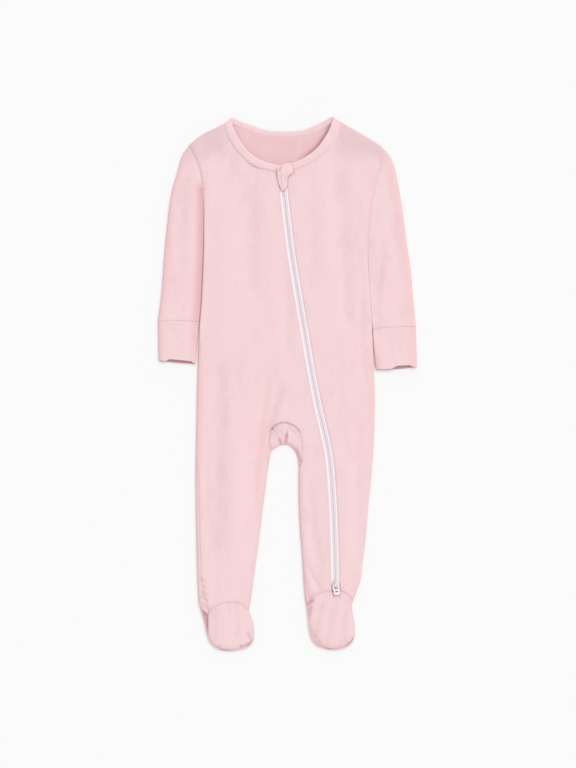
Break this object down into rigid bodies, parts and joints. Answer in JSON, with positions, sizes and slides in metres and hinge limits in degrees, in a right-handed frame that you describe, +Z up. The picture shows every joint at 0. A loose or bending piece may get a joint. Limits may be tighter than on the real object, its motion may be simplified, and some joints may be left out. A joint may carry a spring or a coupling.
{
  "type": "footed baby sleepsuit",
  "caption": "Footed long-sleeved baby sleepsuit laid flat on its back, with a slanting zip from neck to ankle, neckband, cuffs and an arched crotch gusset.",
  "frame": {"origin": "middle of the laid-out garment's box, at the height of the surface it lies on", "axes": "+Y towards the neck, along the garment; +Z up, out of the front; +X to the right as seen from above"},
  "size_m": [0.3368, 0.6944, 0.0102],
  "materials": {
    "jersey": "soft matt rib-knit jersey, pale pink",
    "trim": "folded jersey, topstitched, pale pink",
    "zip_tape": "woven polyester tape, white",
    "zip_coil": "nylon coil, pale grey",
    "zip_enamel": "white enamel on die-cast metal"
  },
  "bodies": {
    "suit": {"front_main": "jersey", "front_side": "jersey", "back_panel": "jersey", "crotch_gusset": "jersey", "sleeve_left": "jersey", "sleeve_right": "jersey", "cuff_left": "jersey", "cuff_right": "jersey", "foot_top_left": "jersey", "foot_top_right": "jersey", "sole_left": "jersey", "sole_right": "jersey", "neckband": "trim", "zip_guard": "trim", "zip_tape_left": "zip_tape", "zip_tape_right": "zip_tape", "zip_chain": "zip_coil", "zip_slider": "zip_enamel"},
    "tab": {"zip_pull_tab": "zip_enamel"}
  },
  "joints": [
    {"name": "tab_turn", "type": "hinge", "parent": "suit", "child": "tab", "pos_m": [0.0624, -0.2615, 0.0081], "axis": [-1, 0, 0], "range_deg": [0, 165]}
  ]
}
